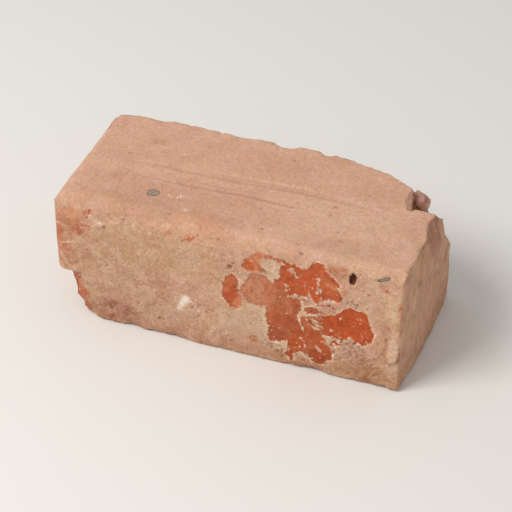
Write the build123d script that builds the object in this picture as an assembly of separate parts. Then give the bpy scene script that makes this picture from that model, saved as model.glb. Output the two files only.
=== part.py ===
"""A reclaimed hand-moulded clay brick: one fired piece, worn at its arrises and broken at two corners.

Millimetres. The brick lies on its bed with its length along X, its width along Y and its height along Z.
The origin is at the middle of the underside. The face that shows most is the front, at -Y.
"""

from build123d import *
import os

# The brick as it left the mould
length = 230
width = 104
height = 90

# How far the mould and the drying left it out of true
left_end_drop = 1
back_lean = 3

# The right end is slightly barrelled: its radius in plan, and where along Y it stands furthest out
end_radius = 560
end_crest = 15

# Radius of the crisp arrises
arris = 2.2

# How far back handling has worn the others: the top of the front at each end, and round the left end
front_wear_left = 16
front_wear_right = 6
end_wear_front = 9
end_wear_back = 6
corner_wear_foot = 7
corner_wear_top = 9

# A worn arris is flatter than a quarter round: its radius for each millimetre between its two edges
wear_flatness = 0.85
wear_lift = 0.2

# The broken corner at the back of the right end, where a large flake has sprung off
spall_reach = 78
spall_top_depth = 20
spall_end_depth = 33
spall_drop = 58

# The step beside it, where the top layer has gone as well
notch_length = 24
notch_depth = 40
notch_fall = 12
notch_floor = 20

# Towards the front the step's wall slants out: by how much, and over what stretch
notch_slant = 5
notch_slant_run = 20

# The lump of clay that the flake left standing in the step: its reach out from the step's wall, its radius,
# and the same for its waist, its foot and its top
knob_back = 17
knob_reach = 10.4
knob_radius = 5.6
knob_waist_reach = 9.2
knob_waist_radius = 5.2
knob_foot_reach = 12
knob_foot_radius = 6.8
knob_top_reach = 6.6
knob_top_radius = 2.8
knob_below_top = 3
knob_tall = 24

# The shallow scar beside the step's corner, in the top
scar_reach = 6
scar_run = 18
scar_drop = 3

# The flake gone from the foot of the left end, at the front
foot_flake_height = 34
foot_flake_front = 20
foot_flake_side = 40
foot_flake_depth = 5
foot_flake_flare = 12

# The upright corner at the back of the left end, worn away towards the top
worn_corner_end = 9
worn_corner_back = 20
worn_corner_drop = 60

# Two bites out of the back arris: distance from the left end, radius of the bite
back_bites = [(118, 11), (145, 8)]
bite_lift = 3

# The chip along the top of the right end, deepest a little before the step
chip_length = 36
chip_depth = 6.5
chip_drop = 17

# The hole left in the front where a scrap of straw or coal burnt out
pit_from_right = 35.6
pit_from_top = 11.6
pit_width = 3.6
pit_height = 8
pit_depth = 5
pit_lean = 11

# How far a cutting shape runs clear of the brick
clear = 10


def across(x):
    """A plane across the brick at x, drawn in Y and Z."""
    return Plane(origin=(x, 0, 0), x_dir=(0, 1, 0), z_dir=(1, 0, 0))


def along(y):
    """An upright plane along the brick at y, drawn in X and Z."""
    return Plane(origin=(0, y, 0), x_dir=(1, 0, 0), z_dir=(0, -1, 0))


def level(z):
    """A level plane at z, drawn in X and Y."""
    return Plane(origin=(0, 0, z))


def moulded_body():
    """The brick fresh from the kiln: a prism with a leaning back, a struck top and a barrelled right end."""
    section = [
        (-width / 2, 0),
        (width / 2 - back_lean, 0),
        (width / 2, height),
        (-width / 2, height),
    ]
    face = across(-length / 2) * make_face(Polyline(section, close=True))
    body = extrude(face, length)
    struck = Plane(origin=(length / 2, 0, height), z_dir=(-left_end_drop, 0, length))
    body = split(body, struck, keep=Keep.BOTTOM)
    drum = Cylinder(end_radius, height + 2 * clear)
    body &= Pos(length / 2 - end_radius, end_crest, height / 2) * drum
    return fillet(body.edges(), arris)


def worn_off(corner, first, second):
    """The face outside a worn corner: a flat arc between two points on its sides, closed outside it."""
    corner, first, second = Vector(*corner), Vector(*first), Vector(*second)
    out_first = (corner - second).normalized()
    out_second = (corner - first).normalized()
    start = first + out_first * wear_lift
    end = second + out_second * wear_lift
    arc = ThreePointArc(start, middle_of_arc(start, end, corner), end)
    outside = Polyline(
        end,
        second + out_second * clear,
        corner + (out_first + out_second) * clear,
        first + out_first * clear,
        start,
    )
    return make_face([arc, outside])


def middle_of_arc(start, end, corner):
    """The middle of the flat arc from start to end that bulges towards the corner."""
    chord = (end - start).length
    radius = chord * wear_flatness
    bulge = radius - (radius**2 - chord**2 / 4) ** 0.5
    middle = (start + end) / 2
    return middle + (corner - middle).normalized() * bulge


def front_wear():
    """The wear along the top of the front, which grows towards the left end."""
    front = -width / 2

    def section(x, wear):
        top = height - left_end_drop * (length / 2 - x) / length
        return across(x) * worn_off((front, top), (front, top - wear), (front + wear, top))

    left = section(-length / 2 - clear, front_wear_left)
    right = section(length / 2 + clear, front_wear_right)
    return loft([left, right], ruled=True)


def end_wear():
    """The wear along the top of the left end."""
    left = -length / 2
    top = height - left_end_drop

    def section(y, wear):
        return along(y) * worn_off((left, top), (left, top - wear), (left + wear, top))

    front = section(-width / 2 - clear, end_wear_front)
    back = section(width / 2 + clear, end_wear_back)
    return loft([front, back], ruled=True)


def corner_wear():
    """The wear down the upright corner between the front and the left end."""
    left = -length / 2
    front = -width / 2

    def section(z, wear):
        return level(z) * worn_off((left, front), (left + wear, front), (left, front + wear))

    return loft([section(-clear, corner_wear_foot), section(height + clear, corner_wear_top)], ruled=True)


def flake(planes_and_outlines):
    """A broken-off flake: straight facets between outlines that match corner for corner."""
    sections = [plane * make_face(Polyline(points, close=True)) for plane, points in planes_and_outlines]
    return loft(sections, ruled=True)


def spall_outline(depth, drop):
    """The flake's section: in from the back arris along the top, and down the back face by drop."""
    back = width / 2
    return [
        (back - depth, height + clear),
        (back - depth, height),
        (back - depth * 0.97, height - drop * 0.4),
        (back + clear, height - drop - clear),
        (back + clear, height + clear),
    ]


def spall():
    """The large flake at the back of the right end, which grows from nothing towards the corner."""
    end = length / 2
    stops = [
        (end - spall_reach, 1, 2),
        (end - spall_reach * 0.55, spall_top_depth * 0.45, spall_drop * 0.45),
        (end - notch_length, spall_top_depth, spall_drop * 0.75),
        (end + clear, spall_end_depth, spall_drop),
    ]
    return flake([(across(x), spall_outline(depth, drop)) for x, depth, drop in stops])


def wall_at(y):
    """Where the wall of the step stands along the length: straight at the back, slanting at the front."""
    edge = width / 2 - notch_depth
    share = max(0, 1 - (y - edge) / notch_slant_run)
    return length / 2 - notch_length + notch_slant * share


def notch():
    """The step in the top beside the spall, with a sloping side towards the front."""
    end = length / 2
    back = width / 2
    edge = back - notch_depth
    outline = [
        (edge, height + clear),
        (edge, height),
        (edge + notch_fall, height - notch_fall),
        (edge + notch_fall + 1, height - notch_floor),
        (back + clear, height - notch_floor - clear),
        (back + clear, height + clear),
    ]
    face = across(end - notch_length) * make_face(Polyline(outline, close=True))
    step = extrude(face, notch_length + clear)
    plan = [(wall_at(y), y) for y in (edge - clear, edge + notch_slant_run, back + clear)]
    plan += [(end + clear, back + clear), (end + clear, edge - clear)]
    return step & extrude(level(0) * make_face(Polyline(plan, close=True)), height + clear)


def knob():
    """The lump of clay left standing in the step against its wall, thick in the head and slimmer below."""
    y = width / 2 - knob_back
    wall = wall_at(y)
    top = height - knob_below_top

    def ring(z, reach, radius):
        return level(z) * (Pos(wall + reach - radius, y) * Circle(radius))

    rings = [
        ring(top - knob_tall, knob_foot_reach, knob_foot_radius),
        ring(top - knob_tall * 0.52, knob_waist_reach, knob_waist_radius),
        ring(top - knob_tall * 0.36, knob_reach, knob_radius),
        ring(top - knob_tall * 0.14, knob_reach * 0.97, knob_radius * 0.95),
        ring(top, knob_top_reach, knob_top_radius),
    ]
    return loft(rings, ruled=True)


def scar():
    """The shallow flake gone from the top beside the step, which slopes down to the step's wall."""
    edge = width / 2 - notch_depth

    def outline(wall, reach):
        return [
            (wall + 1, height - scar_drop),
            (wall - reach * 0.5, height - scar_drop * 0.45),
            (wall - reach, height + 0.5),
            (wall - reach, height + clear),
            (wall + 1, height + clear),
        ]

    stops = [(edge - 2, 0.6), (edge + scar_run * 0.45, 1), (edge + scar_run, 0.3)]
    return flake([(along(y), outline(wall_at(y), scar_reach * share)) for y, share in stops])


def foot_flake():
    """The flake gone from the lower front corner of the left end, wider towards the bed."""
    left = -length / 2
    front = -width / 2

    def outline(grown):
        return [
            (left - clear, front - clear),
            (left + foot_flake_front + grown, front - clear),
            (left + foot_flake_front + grown, front),
            (left + foot_flake_front * 0.43 + grown * 0.9, front + foot_flake_depth),
            (left + foot_flake_front * 0.2 + grown * 0.6, front + foot_flake_side * 0.5),
            (left, front + foot_flake_side),
            (left - clear, front + foot_flake_side),
        ]

    stops = [
        (foot_flake_height, 0),
        (foot_flake_height * 0.4, foot_flake_flare * 0.3),
        (-clear, foot_flake_flare * 1.4),
    ]
    return flake([(level(z), outline(grown)) for z, grown in stops])


def worn_corner():
    """The clay worn from the upright back corner of the left end, most of it near the top."""
    left = -length / 2
    back = width / 2

    def outline(end_wear, back_wear):
        return [
            (left - clear, back - end_wear),
            (left, back - end_wear),
            (left + back_wear, back),
            (left + back_wear, back + clear),
            (left - clear, back + clear),
        ]

    stops = [
        (height - worn_corner_drop, 1, 1),
        (height + clear, worn_corner_end, worn_corner_back),
    ]
    return flake([(level(z), outline(end_wear, back_wear)) for z, end_wear, back_wear in stops])


def end_chip():
    """The chip along the top arris of the right end, which starts from nothing at the front."""
    end = length / 2
    step = width / 2 - notch_depth

    def outline(depth, drop):
        return [
            (end - depth, height + clear),
            (end - depth, height),
            (end, height - drop),
            (end + clear, height - drop),
            (end + clear, height + clear),
        ]

    stops = [
        (step - chip_length, 0.5, 0.5),
        (step - chip_length * 0.25, chip_depth, chip_drop),
        (step + 2, chip_depth * 0.35, chip_drop),
        (step + notch_fall + 2, chip_depth * 0.6, chip_drop + 6),
    ]
    return flake([(along(y), outline(depth, drop)) for y, depth, drop in stops])


def bites():
    """The scoops knocked out of the back arris."""
    back = width / 2
    return [
        Pos(from_left - length / 2, back + radius * 0.45, height + bite_lift) * Sphere(radius)
        for from_left, radius in back_bites
    ]


def burnt_out_pit():
    """The small hole in the front face, taller than it is wide and narrower inside."""
    x = length / 2 - pit_from_right
    z = height - pit_from_top

    def mouth(y, share):
        oval = Rot(0, 0, -pit_lean) * Ellipse(pit_width / 2 * share, pit_height / 2 * share)
        return Pos(x, y, z) * (Plane.XZ * oval)

    front = -width / 2
    return loft([mouth(front - 1, 1.1), mouth(front + pit_depth * 0.6, 0.8), mouth(front + pit_depth, 0.4)])


def clay_brick():
    """The brick with all that it has lost, and the knob that it has kept."""
    body = moulded_body()
    body -= front_wear()
    body -= end_wear()
    body -= corner_wear()
    body -= spall()
    body -= notch()
    body -= end_chip()
    body -= scar()
    body += knob()
    body -= foot_flake()
    body -= worn_corner()
    for bite in bites():
        body -= bite
    return body - burnt_out_pit()


brick = clay_brick()
os.makedirs("parts", exist_ok=True)
export_step(brick, "parts/clay_brick.step")
box = brick.bounding_box()
print("clay_brick", len(brick.solids()), "solid,", round(brick.volume), "mm3,", box.size)
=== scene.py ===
# %% [markdown]
# # A reclaimed clay brick
# The real thing is one lump of fired clay. It was thrown into a wooden mould, struck flat along the top,
# dried, fired, laid in lime mortar, and knocked out of its wall again many years later.
# A model of it could be a box with a picture on it, but a brick like this lives by its relief: the worn
# arrises, the broken corner, the sandy grain, and the thin skin of mortar that has come away in places.
# So the solid from the CAD model gets a fine skin of its own mesh, small forms are pressed into that skin,
# and the material adds what is finer than the mesh. Everything is measured in millimetres on the brick.

import bmesh
import bpy
import numpy as np
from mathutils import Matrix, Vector, noise
from mathutils.bvhtree import BVHTree


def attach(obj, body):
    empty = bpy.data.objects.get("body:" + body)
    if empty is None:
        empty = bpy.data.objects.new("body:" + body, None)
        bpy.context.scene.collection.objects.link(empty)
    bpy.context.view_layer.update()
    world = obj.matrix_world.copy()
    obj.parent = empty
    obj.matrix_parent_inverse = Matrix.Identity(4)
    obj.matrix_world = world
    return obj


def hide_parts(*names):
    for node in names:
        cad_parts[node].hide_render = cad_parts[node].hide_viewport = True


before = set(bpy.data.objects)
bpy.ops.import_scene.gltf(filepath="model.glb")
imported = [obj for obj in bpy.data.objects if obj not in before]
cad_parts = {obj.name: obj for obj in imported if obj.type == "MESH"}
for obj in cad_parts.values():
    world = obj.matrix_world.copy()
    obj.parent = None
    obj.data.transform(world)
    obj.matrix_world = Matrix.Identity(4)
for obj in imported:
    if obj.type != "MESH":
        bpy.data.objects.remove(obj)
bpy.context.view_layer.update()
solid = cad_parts["clay_brick"]
MM = 0.001


# %% [markdown]
# ## The fine skin
# The CAD solid has large faces with few points, so nothing small can be pressed into it.
# A voxel remesh fills it with little cubes and wraps them in even quads. The front and the broken corner
# are looked at most, so there every quad is cut in four. The wrap is a little off the true surface, so
# each of its points is then moved onto the nearest point of the solid.

# %% Wrap the solid in an even mesh
POINT_SPACING = 1.38

skin = bpy.data.objects.new("fired_clay_body", solid.data.copy())
bpy.context.scene.collection.objects.link(skin)
remesh = skin.modifiers.new("even skin", "REMESH")
remesh.mode = "VOXEL"
remesh.voxel_size = POINT_SPACING * MM
remesh.adaptivity = 0
even = bpy.data.meshes.new_from_object(skin.evaluated_get(bpy.context.evaluated_depsgraph_get()))
skin.modifiers.clear()
skin.data = even
even.name = "fired_clay_body"
print("even skin:", len(even.polygons), "faces")

# %% Cut the quads of the front and of the broken corner in four
FACES_FORWARD = -0.5
CORNER_FROM = (80, 5, 62)


def wants_detail(face):
    """True on the front and around the step in the broken corner."""
    centre = face.calc_center_median() / MM
    return face.normal.y < FACES_FORWARD or all(c > start for c, start in zip(centre, CORNER_FROM))


cutting = bmesh.new()
cutting.from_mesh(even)
chosen = [edge for edge in cutting.edges if any(wants_detail(face) for face in edge.link_faces)]
bmesh.ops.subdivide_edges(cutting, edges=chosen, cuts=1, use_grid_fill=True)
cutting.to_mesh(even)
cutting.free()

points = np.empty(len(even.vertices) * 3, np.float32)
even.vertices.foreach_get("co", points)
points = points.reshape(-1, 3)
surface = BVHTree.FromPolygons([v.co for v in solid.data.vertices], [p.vertices for p in solid.data.polygons])
points = np.array([surface.find_nearest(p)[0] for p in points.tolist()])
even.vertices.foreach_set("co", points.astype(np.float32).ravel())
even.update()
triangles = sum(len(p.vertices) - 2 for p in even.polygons)
print("skin:", len(points), "points,", triangles, "triangles")

# %% [markdown]
# ## Measures on the skin
# Every form below is placed by where a point lies on the brick, in millimetres, and by which way it faces.
# The front and the top are read as one sheet that is folded over the arris between them: `along` runs
# along the length, and `up` climbs the front and then goes on over the top towards the back.

# %% Positions, facings and the unfolded sheet
place = points / MM
facing = np.empty(len(points) * 3, np.float32)
even.vertex_normals.foreach_get("vector", facing)
facing = facing.reshape(-1, 3).astype(float)

HALF_LENGTH, HALF_WIDTH, HEIGHT = 115.0, 52.0, 90.0
along = place[:, 0]
up = place[:, 2] + (place[:, 1] + HALF_WIDTH)


def ramp(values, start, end):
    """Rises smoothly from 0 at start to 1 at end."""
    share = np.clip((values - start) / (end - start), 0, 1)
    return share * share * (3 - 2 * share)


# How far a point has to face a way to belong to that side a little, and to belong to it fully
TURNED = (0.35, 0.75)
on_left, on_front, on_bed = [ramp(-facing[:, axis], *TURNED) for axis in range(3)]
on_right, on_back, on_top = [ramp(facing[:, axis], *TURNED) for axis in range(3)]
on_sheet = np.maximum(on_front, on_top)
in_sheet = on_sheet > 0.5
hidden = np.clip(on_left + on_back + on_bed, 0, 1)
print("points on the front", int(on_front.sum()), "top", int(on_top.sum()), "right end", int(on_right.sum()))

# %% [markdown]
# Clay has lumps of every size. `lumps` gives smooth noise whose bumps are about `size` millimetres
# across, between about -1 and 1. Another `seed` gives other bumps, and the same seed always the same.

# %% Noise in millimetres
SEED_SHIFT = np.array([17.3, 5.1, 9.7])
TO_FULL_RANGE = 1.6


def lumps(size, seed, stretch=(1, 1, 1)):
    """Smooth bumps of about this size on every point of the skin."""
    spots = place / (np.array(stretch) * size) + SEED_SHIFT * seed
    return np.array([noise.noise(spot) for spot in spots.tolist()]) * TO_FULL_RANGE


broad, middling, small, fine = lumps(55, 1), lumps(18, 2), lumps(7, 3), lumps(3.2, 4)
print("broad bumps run from", round(broad.min(), 2), "to", round(broad.max(), 2))

# %% [markdown]
# ## Where the mortar skin has come away
# The brick still wears a thin skin of lime and dust from its wall. Where that skin has sprung off, the
# fired clay under it shows strong orange-red. On the front that bare clay is one large torn patch and a few
# small ones. Each is drawn here as a rough outline in millimetres, (along, up). What is kept on the mesh is
# the distance from the outline, which the material later makes ragged with noise.

# %% Outlines of the bare clay on the front
BARE_CLAY = {
    "upper island": [
        (35.2, 74), (36.5, 77.5), (38.5, 79.5), (41, 79.6), (44, 79), (47, 77.3), (50, 78), (53, 79),
        (54.3, 82), (55.5, 85), (58, 85.6), (61, 84.6), (62, 82), (62.6, 79), (65, 77), (67.5, 75),
        (70.3, 72.8), (71, 70.8), (70, 69.4), (70.6, 67.4), (71.9, 65.6), (73, 62.5), (72.4, 59.8),
        (70, 59.2), (66.5, 59.4), (62.8, 58.8), (60.6, 59.6), (59.2, 57.6), (58.6, 55.4), (57, 55.3),
        (56, 57.2), (54.8, 58.6), (54, 60.4), (52.4, 60.6), (51.2, 59), (50.4, 57.6), (48, 57.8),
        (45, 58.2), (42.8, 57), (41, 55.4), (39.5, 54.6), (37, 58), (35, 63), (35, 70),
    ],
    "left column": [
        (35.6, 71.5), (38, 68), (39, 63.5), (40, 58.5), (40.8, 55.4), (42.5, 54.6), (45, 55.2),
        (47.8, 52.6), (48.2, 48.2), (46.3, 45.6), (45.2, 42.4), (45.8, 39.8), (47, 37.2), (48.2, 34.2),
        (49.6, 31), (51, 29.5), (48, 26), (45, 22.5), (42, 21.5), (40, 21), (38.5, 20.6), (36, 19.6),
        (33, 18), (31, 17.4), (28.5, 19.4), (26.4, 20.4), (28, 23), (29, 25.6), (28.4, 29), (27, 31.2),
        (26.4, 35), (26.2, 39), (26.8, 43), (27.6, 46), (27.6, 49.2), (28.6, 52), (28.5, 54.4), (27, 56.6),
        (29, 59), (31.4, 60.4), (31, 63), (31.6, 65.4), (34, 66.6),
    ],
    "right lobe": [
        (60.6, 45.4), (64, 46.6), (69, 48.2), (72, 50.6), (74, 53.2), (76, 55.6), (78.8, 56.6), (81, 55.4),
        (84, 55.2), (87, 56), (89.2, 54), (90.2, 50.5), (91, 46.5), (91.6, 43.6), (93.6, 40.6), (92.6, 37),
        (92.2, 34.6), (89.6, 33), (88, 30.8), (85.2, 30.8), (82.6, 32.3), (81, 34), (78, 34.1), (76, 32.4),
        (74, 32.4), (72, 33.4), (70, 30.9), (67.5, 32), (65, 31.4), (62.5, 31.2), (60.6, 32.4), (62.2, 36),
        (62.6, 40.6), (61.4, 43.2),
    ],
    "lower lobe": [
        (49.6, 31.5), (53, 32.8), (57, 32.6), (61, 31.6), (63, 28.6), (64.8, 25.4), (66.2, 23.6), (68, 27),
        (69.2, 30), (70.6, 29), (71.2, 27), (70, 24), (69.5, 21), (68, 18), (68, 14), (66.5, 12.8),
        (64, 11), (62.5, 9), (59.6, 8.4), (57, 9.4), (55.4, 11), (53, 12.4), (51.4, 14), (49, 14.4),
        (45.6, 14), (43.6, 12.8), (42.8, 10), (43.8, 7.4), (42, 6.2), (40.2, 8), (39.2, 10.4), (40.2, 13),
        (41.6, 15), (40.8, 18), (40.2, 21), (39, 24), (42, 28), (46, 30),
    ],
    "middle": [
        (49.2, 31), (48.4, 35), (48.4, 39), (49.4, 42.8), (54.6, 43.8), (58.6, 43.2), (62.4, 43.4),
        (64, 40.5), (63, 36), (61.2, 31.6), (56, 31),
    ],
    "sliver": [
        (50.2, 46.2), (50.6, 49.4), (54.5, 50.4), (58.5, 50.2), (61, 48.7), (59.8, 46.9), (55.9, 45.8),
    ],
    "salmon patch": [
        (10, 53.6), (12.5, 57.5), (15, 61), (17, 65), (20.5, 66.7), (25, 66.6), (27, 64), (30, 62.5),
        (33, 60), (33, 56), (31, 50), (30, 46), (26.5, 43.4), (22, 43), (17, 42.8), (14.4, 44.4),
        (12.8, 47), (11, 49.6),
    ],
    "upper left spot": [
        (11, 70.2), (12, 74.5), (15.5, 77), (18.5, 80.5), (21, 83.5), (24, 82.6), (22.3, 79), (20.8, 75.4),
        (23.5, 72.4), (23, 69.5), (18, 67.4), (14, 67.8),
    ],
    "left tear": [
        (-2, 46.5), (-1.6, 53), (0, 58), (2.4, 60.6), (4.6, 61.8), (6.2, 60), (8, 58.6), (8.4, 54.5),
        (7.4, 50), (5.8, 46.5), (4.6, 43), (3, 40.2), (0.6, 40), (-1, 43),
    ],
    "foot of the left tear": [
        (1, 40), (4, 43), (7, 48), (10, 47), (10, 42), (9, 37.5), (6, 35.5), (3.5, 37),
    ],
}
print("outlines of bare clay:", ", ".join(BARE_CLAY))

# %% [markdown]
# Thin marks are drawn as strokes: a line of points and a half width. Scraps of mortar cling inside the
# patch like this, and threads of bare clay run out of it.

# %% Scraps of mortar on the bare clay, and threads of bare clay beside it
# Each scrap and each thread: its line of points, its half width
MORTAR_SCRAPS = [
    ([(41.2, 74.6), (41.8, 73.4)], 0.9), ([(44.8, 70.6), (46.8, 71), (48, 72.8)], 0.4),
    ([(50.6, 69.2), (51.4, 67.2), (53.4, 65.6), (55.4, 64.8)], 0.4), ([(58.6, 73.8), (58.8, 71.6)], 0.9),
    ([(58.4, 69.6), (58, 66.6), (58.8, 64), (57.6, 61.8)], 0.55), ([(59.6, 66), (60, 63)], 0.35),
    ([(52.8, 62.4), (53.2, 60)], 0.6), ([(38, 64.6), (38.8, 61.6), (39.4, 58), (40.4, 54.6)], 0.35),
    ([(46.4, 42.6), (46.4, 40.4), (47.4, 37.6), (48.6, 34.4), (49.8, 31.4)], 0.6),
    ([(47, 43.8), (51, 44.6), (56, 44.9), (60, 46)], 0.9),
    ([(55.6, 41.8), (57.6, 40), (59.4, 40.6), (61.6, 39.2)], 0.5),
    ([(56.4, 39), (58.4, 37.6), (61.6, 37.8)], 0.45), ([(55.4, 36.2), (58, 34.6), (60.4, 34)], 0.5),
    ([(59, 36.4), (61, 33)], 0.35), ([(51.8, 40.2), (52.6, 39.4)], 0.3),
    ([(53.6, 37.4), (54.4, 36.6)], 0.3), ([(64.8, 29.2), (65.6, 26.6), (67.4, 24)], 0.45),
    ([(66.6, 29.4), (67.6, 27.4)], 0.4), ([(57.8, 20.8), (58.6, 20.4)], 0.5),
    ([(60.2, 19.2), (62, 17.4), (64, 16.2)], 0.4), ([(47.8, 24.6), (49.6, 23.8), (51, 22)], 0.35),
    ([(45.4, 19.4), (46.6, 17.2), (49, 17.6)], 0.3), ([(50.6, 20.6), (51.4, 17.4)], 0.25),
    ([(66.8, 37.3), (67.3, 36.3)], 0.6), ([(86.6, 37.4), (87, 36.2)], 0.55),
    ([(72.3, 47.2), (72.8, 46.4)], 0.4), ([(83.2, 49.8), (83.4, 49)], 0.3),
    ([(12, 47.2), (12.8, 44.4), (14, 43)], 0.6),
]
# Where the skin is frayed, so that bare clay shows through in bits: centre, radii, turn, how far gone
FRAYED = [
    ((-24, 81.2), (6.4, 2.8), 26, 0.35), ((-37, 82), (3, 2.2), 30, 0.1), ((-90.2, 84), (3, 2.4), 40, 0.3),
    ((-92, 71.6), (6, 2.6), 18, -0.5), ((-98, 68.6), (4, 2.6), 0, -0.9),
    ((-111.5, 66), (1.6, 3.4), 0, -0.3), ((-78, 16), (6.5, 3), -18, -0.9), ((-66, 13), (3, 3), 0, -1.0),
    ((-94.6, 20), (2.8, 3), 0, 0.0), ((18.6, 15.8), (3.4, 3), 10, 0.35), ((30, 80.7), (7, 1.3), -4, 0.7),
    ((2.6, 67), (2.4, 2), 40, -0.3), ((75, 68), (2.6, 6), 25, -0.7), ((101, 76), (4, 1.6), -20, -0.6),
    ((108.6, 65), (1.4, 3.4), 0, -0.3), ((47, 11), (4, 1.8), 10, -0.5), ((41.5, 9.5), (3, 4), 0, -0.1),
    ((52, 9), (7, 2), 20, -0.3), ((55, 54.6), (13, 3.2), -4, -0.8), ((66, 52.5), (8, 2.6), 10, -0.9),
    ((46.5, 56), (5, 2.6), 0, 0.3), ((29.5, 70), (4, 7), 10, -1.1), ((66, 82), (5, 4), 0, -1.0),
    ((71, 26), (3, 5), 0, -0.2), ((77, 31.4), (10, 2.6), 0, -0.2), ((6, 39), (5, 3.6), 0, 0.0),
    ((9.6, 60), (2, 3), 0, -0.9), ((35, 15), (5, 3), 0, -0.9), ((61.5, 46.6), (5, 2), 20, 0.1),
    ((17.5, 73), (7, 6), 30, -0.3), ((-74, 7), (3, 2.6), 0, -0.9),
]
# Where scraps of mortar are sprinkled over the bare clay: centre, radii, turn, how many
FLECKED = [
    ((57, 37.5), (6.5, 5.5), 0, 0.35), ((58.4, 68), (2.6, 6), 0, 0.5), ((66, 25), (4.5, 7), 10, 0.55),
    ((39.5, 60), (3, 7), 10, 0.45), ((38.5, 23), (3.5, 4), 0, 0.4), ((43, 73.5), (5, 4), 0, 0.5),
    ((50, 26), (5, 4), 0, 0.2), ((50, 62.5), (4, 3), 0, 0.3), ((57, 19), (7, 5), -30, 0.3),
    ((31, 26), (4, 6), 0, 0.35), ((14, 46), (3, 3), 0, 0.6), ((46, 56), (4, 3), 0, 0.4),
    ((66, 69.8), (5, 2), 0, 0.5),
]
CLAY_THREADS = [
    ([(58.5, 53.4), (62.5, 53.8)], 0.55), ([(64.5, 54.8), (68, 54.2)], 0.45),
    ([(8.4, 50.6), (10.8, 49.8)], 1.0),
]


def line_gap(start, end, across, over):
    """How far each point lies from a straight line between two points, in millimetres."""
    (ax, ay), (bx, by) = start, end
    run = (bx - ax) ** 2 + (by - ay) ** 2
    share = np.clip(((across - ax) * (bx - ax) + (over - ay) * (by - ay)) / run, 0, 1)
    return np.hypot(across - ax - share * (bx - ax), over - ay - share * (by - ay))


def outline_depth(outline):
    """How far each point lies inside an outline, in millimetres; outside it the value is negative."""
    corners = np.array(outline, float)
    nearest = np.inf
    inside = np.zeros(len(along), bool)
    for (ax, ay), (bx, by) in zip(corners, np.roll(corners, -1, axis=0)):
        nearest = np.minimum(nearest, line_gap((ax, ay), (bx, by), along, up))
        if by != ay:
            inside ^= ((ay > up) != (by > up)) & (along < ax + (up - ay) * (bx - ax) / (by - ay))
    return np.where(inside, nearest, -nearest)


def stroke_depth(line, half_width, across=along, over=up):
    """The same for a stroke along a line of points."""
    return half_width - np.min([line_gap(*ends, across, over) for ends in zip(line, line[1:])], axis=0)


def oval_depth(centre, radii, turn=0.0, across=along, over=up):
    """The same for an oval, given its centre, its two radii and its turn in degrees."""
    cos, sin = np.cos(np.radians(turn)), np.sin(np.radians(turn))
    dx, dy = across - centre[0], over - centre[1]
    reach = np.hypot((dx * cos + dy * sin) / radii[0], (dy * cos - dx * sin) / radii[1])
    return (1 - reach) * min(radii)


print(len(MORTAR_SCRAPS), "scraps,", len(CLAY_THREADS), "threads,", len(FRAYED), "frayed places")

# %% [markdown]
# All of these become one distance. The distances are steepened, so that the noise in the material gnaws
# only at the borders. On the sides that the photo doesn't show, a few torn places are left to noise.

# %% One distance for all of it
STEEP_BORDER, STEEP_SCRAP, OUTWARDS = 1.3, 1.5, 0.8
SCRAP_OUTWARDS, THREAD_OUTWARDS = 0.35, 0.3
FAR_OUTSIDE = -9
WITHOUT_RIM = ("salmon patch", "upper left spot", "foot of the left tear")

depths = {name: outline_depth(outline) for name, outline in BARE_CLAY.items()}
# This spot stays shallow all over, so that noise gnaws the whole of it
depths["upper left spot"] = np.minimum(depths["upper left spot"] - 0.2, 0.4)
bare = np.max(list(depths.values()), axis=0) * STEEP_BORDER + OUTWARDS
for line, half_width in MORTAR_SCRAPS:
    bare = np.minimum(bare, -STEEP_SCRAP * stroke_depth(line, half_width) + SCRAP_OUTWARDS)
for line, half_width in CLAY_THREADS:
    bare = np.maximum(bare, stroke_depth(line, half_width) * STEEP_BORDER + THREAD_OUTWARDS)
for centre, radii, turn, gone in FRAYED:
    frayed = np.minimum(oval_depth(centre, radii, turn) - 0.35 * min(radii), 0) + gone
    bare = np.maximum(bare, frayed)
bare = np.where(in_sheet, bare, FAR_OUTSIDE)

# Where the pale rim may show: partly broken mortar, partly a painted highlight on the torn edge
rimmed = ramp(np.max([depths[name] for name in BARE_CLAY if name not in WITHOUT_RIM], axis=0), -3, -1.5)
flecked = np.max([share * ramp(oval_depth(centre, radii, turn), -1.5, 1.5)
                  for centre, radii, turn, share in FLECKED], axis=0)

# Broad bumps place the tears of the unseen sides, smaller ones shape them, and TEARS_FEW keeps them few
TEARS_FEW = 10.5
tears = lumps(30, 21) * 14 + lumps(9, 22) * 4 - TEARS_FEW
unseen = hidden > 0.5
bare = np.where(unseen, np.maximum(bare, tears), bare)
rimmed = np.where(unseen, 0.9 * ramp(tears, -4, -1.5), rimmed)
flecked = np.where(unseen, 0.3 + 0.5 * ramp(lumps(14, 23), 0.0, 0.6), flecked)
print("bare clay in all:", round(float((bare > 0).mean()) * 100, 1), "% of the skin")

# %% [markdown]
# ## What has broken off
# Breaks show the coarse inside of the clay. A point is on a break where it lies clearly inside
# the faces that the mould gave the brick. Worn arrises lie inside them too, but only a little. The breaks
# are looked for in three places only: the big broken corner, the foot of the left end, and the worn
# corner behind it. The lump that is left standing in the big break is found by its place.

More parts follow.
